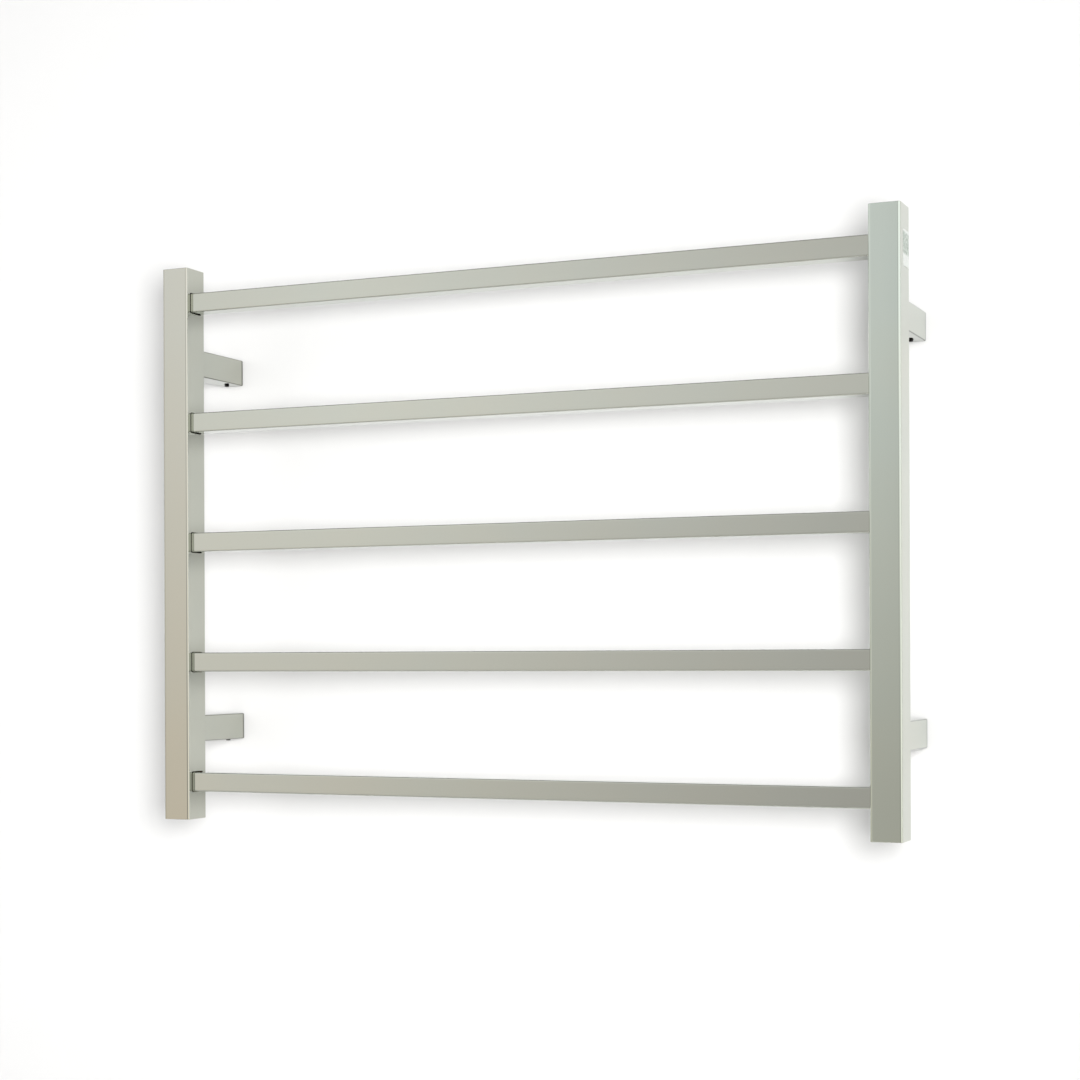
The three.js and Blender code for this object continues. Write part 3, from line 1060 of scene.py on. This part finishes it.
labelMake = {
    "corner": 1.5 * mm,
    "thickness": 0.12 * mm,
    "offFace": 0.02 * mm,
    "lift": 0.16 * mm,  # how far the lower corner has come away
    "liftFrom": 0.55,  # where the lift starts, on the way from the middle to that corner
    "rings": (1.0, 0.85, 0.6, 0.3),
    "film": ((0.66, 0.69, 0.66), (0.74, 0.76, 0.73)),
    "panel": ((0.24, 0.30, 0.25), (0.54, 0.59, 0.54)),
    "panelFoot": 0.34,  # the panel starts this far up the label
    "panelTop": 0.93,
    "fade": 0.03,
    "mottleScale": 420.0,
}


def labelFilm():
    make = labelMake
    material, tree, shader = newMaterial("label_film")
    low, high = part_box("rating_label")
    space = patternSpace(tree)
    height = along(tree, "Z", low.z, high.z)
    mottle = spread(tree, noise(tree, space, make["mottleScale"], detail=3.0, rough=0.6), 0, 1, 0.42, 0.58)
    film = mixColours(tree, mottle, *make["film"])
    panel = mixColours(tree, mottle, *make["panel"])
    foot, top, fade = make["panelFoot"], make["panelTop"], make["fade"]
    aboveFoot = spread(tree, height, 0, 1, foot - fade, foot + fade)
    belowTop = spread(tree, height, 1, 0, top - fade, top + fade)
    inPanel = mathNode(tree, "MULTIPLY", aboveFoot, belowTop)
    link(tree, mixColours(tree, inPanel, film, panel), shader.inputs["Base Color"])
    link(tree, spread(tree, mottle, 0.3, 0.45, 0, 1), shader.inputs["Roughness"])
    ripple = noise(tree, space, 120.0, detail=2.0)
    bump(tree, [(ripple, 0.1, 0.0002), (mottle, 0.05, 0.0001)], shader)
    return material


def makeLabel():
    make = labelMake
    low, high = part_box("rating_label")
    centre = (low + high) / 2
    size = (high.y - low.y, high.z - low.z)
    inner = postBox["right"][1].x + make["offFace"]
    work = bmesh.new()
    outline = roundedSection(*size, make["corner"], 5)
    rings = [[work.verts.new((inner, y * share, z * share)) for y, z in outline] for share in make["rings"]]
    for outside, inside in zip(rings, rings[1:]):
        bridge(work, outside, inside)
    work.faces.new(rings[-1])
    for vertex in work.verts:
        toCorner = vertex.co.y / size[0] - vertex.co.z / size[1]
        loose = max(0.0, toCorner - make["liftFrom"]) / (1 - make["liftFrom"])
        vertex.co += Vector((make["lift"] * loose * loose, centre.y, centre.z))
    label = facedOut(work, "blank_label")
    shell = label.modifiers.new("thickness", "SOLIDIFY")
    shell.thickness = make["thickness"]
    shell.offset = 1.0
    asPlainMesh(label)
    roundShading(label)
    return dress(label, labelFilm(), "ladder", "label_film", "rating_label")


makeLabel()
print("label stuck on")


# room

def plasterMaterial(name, colour):
    # seen from its front only, so that the object shows from behind and below as well
    material, tree, shader = newMaterial(name)
    paint = noise(tree, patternSpace(tree), 3.0)
    darker = tuple(0.985 * c for c in colour)
    link(tree, mixColours(tree, spread(tree, paint, 0, 1), darker, colour), shader.inputs["Base Color"])
    shader.inputs["Roughness"].default_value = 0.9
    side = tree.nodes.new("ShaderNodeNewGeometry").outputs["Backfacing"]
    mix = addNode(tree, "ShaderNodeMixShader", Fac=side)
    link(tree, shader.outputs["BSDF"], mix.inputs[1])
    link(tree, tree.nodes.new("ShaderNodeBsdfTransparent").outputs["BSDF"], mix.inputs[2])
    link(tree, mix.outputs["Shader"], tree.nodes["Material Output"].inputs["Surface"])
    return material


def backdrop(name, points, colour):
    mesh = bpy.data.meshes.new(name)
    mesh.from_pydata(points, [], [(0, 1, 2, 3)])
    mesh.materials.append(plasterMaterial(name, colour))
    addObject(name, mesh)


roomMake = {
    "wallY": 0.4 * mm,
    "wallHalf": 5.0,
    "floorZ": -1.15,
    "ceilingZ": 2.2,
    "front": -6.0,
    "wallColour": (0.735, 0.735, 0.735),
    "floorColour": (0.66, 0.655, 0.645),
}


def makeRoom(make):
    half, y = make["wallHalf"], make["wallY"]
    floorZ, ceiling, front = make["floorZ"], make["ceilingZ"], make["front"]
    wall = [(-half, y, floorZ), (half, y, floorZ), (half, y, ceiling), (-half, y, ceiling)]
    floor = [(-half, front, floorZ), (half, front, floorZ), (half, -front, floorZ), (-half, -front, floorZ)]
    backdrop("wall_backdrop", wall, make["wallColour"])
    backdrop("pale_floor", floor, make["floorColour"])


makeRoom(roomMake)

lampMake = {
    "key": {  # just right of the camera and above it
        "place": (0.989, -1.859, -0.017),
        "aim": (-1.6, 0, 0),
        "size": 0.72,
        "power": 30.5,
        "spread": 130.0,
        "colour": (1.0, 0.995, 0.99),
    },
    "fill": {
        "place": (-2.6, -2.2, 0.6),
        "aim": (-0.8, 0, 0),
        "size": 2.5,
        "power": 12.0,
        "spread": 180.0,
        "colour": (1.0, 1.0, 1.0),
    },
}


def makeLamp(name, setup):
    data = bpy.data.lights.new(name, "AREA")
    data.shape = "DISK"
    data.size = setup["size"]
    data.energy = setup["power"]
    data.spread = math.radians(setup["spread"])
    data.color = setup["colour"]
    lamp = addObject(name, data)
    lamp.location = setup["place"]
    lamp.rotation_euler = (Vector(setup["aim"]) - lamp.location).to_track_quat("-Z", "Y").to_euler()
    lamp.visible_camera = False
    lamp.visible_glossy = False  # the polished steel mirrors the sky only


for name, setup in lampMake.items():
    makeLamp(name, setup)

# the sky round the rack: brightness at bearings in degrees from straight ahead, positive to the right
skyMake = {
    "high": {-90: (0.75, 0.74, 0.73), -50: (0.75, 0.74, 0.73), -36: (0.95, 0.95, 0.95),
             -29: (1.05, 1.05, 1.05), -25: (0.99, 0.99, 0.99), -14: (0.77, 0.77, 0.77),
             -11: (0.5, 0.5, 0.5), -3: (0.5, 0.5, 0.5), 7: (1.22, 1.22, 1.2), 90: (1.3, 1.3, 1.3)},
    "low": {-90: (0.62, 0.60, 0.58), -50: (0.65, 0.63, 0.60), -33: (0.88, 0.84, 0.80),
            -26: (0.78, 0.76, 0.73), -14: (0.56, 0.55, 0.54), 0: (0.42, 0.42, 0.41),
            25: (0.5, 0.5, 0.5), 45: (1.3, 1.3, 1.28), 90: (1.35, 1.35, 1.35)},
    "highFrom": 9.0,  # degrees above the horizon
    "lowFrom": -4.0,
    "zenith": (0.34, 0.35, 0.36),
    "zenithFrom": (14.0, 50.0),
    "behind": (1.15, 1.15, 1.14),  # the light on the wall's far side, for views from the back
    "behindFrom": (0.0, 0.1),
    "background": (0.93, 0.93, 0.925),  # what the camera sees past the wall and the floor
    "brightest": 2.0,
}


def bearingRamp(tree, bearing, stops, brightest):
    shares = [((degrees + 90) / 180, [c / brightest for c in colour]) for degrees, colour in stops.items()]
    return colourRamp(tree, bearing, shares)


def makeSky(make):
    world = bpy.data.worlds.new("soft_studio")
    bpy.context.scene.world = world
    world.use_nodes = True
    tree = world.node_tree
    x, y, z = splitVector(tree, tree.nodes.new("ShaderNodeTexCoord").outputs["Generated"])
    bearing = mathNode(tree, "ARCTAN2", x, mathNode(tree, "MULTIPLY", y, -1.0))
    bearing = spread(tree, bearing, 0, 1, -math.pi / 2, math.pi / 2)
    brightest = make["brightest"]
    zenith, behind, background = (tuple(c / brightest for c in make[part])
                                  for part in ("zenith", "behind", "background"))
    high = bearingRamp(tree, bearing, make["high"], brightest)
    low = bearingRamp(tree, bearing, make["low"], brightest)
    lowest, highest = (math.sin(math.radians(make[part])) for part in ("lowFrom", "highFrom"))
    horizon = mixColours(tree, spread(tree, z, 0, 1, lowest, highest), low, high)
    zenithFrom, zenithFull = (math.sin(math.radians(a)) for a in make["zenithFrom"])
    sky = mixColours(tree, spread(tree, z, 0, 1, zenithFrom, zenithFull), horizon, zenith)
    sky = mixColours(tree, spread(tree, y, 0, 1, *make["behindFrom"]), sky, behind)
    seen = tree.nodes.new("ShaderNodeLightPath").outputs["Is Camera Ray"]
    back = tree.nodes["Background"]
    link(tree, mixColours(tree, seen, sky, background), back.inputs["Color"])
    back.inputs["Strength"].default_value = brightest


makeSky(skyMake)
bpy.context.scene.view_settings.view_transform = "Standard"
bpy.context.scene.view_settings.look = "None"
print("room lit")
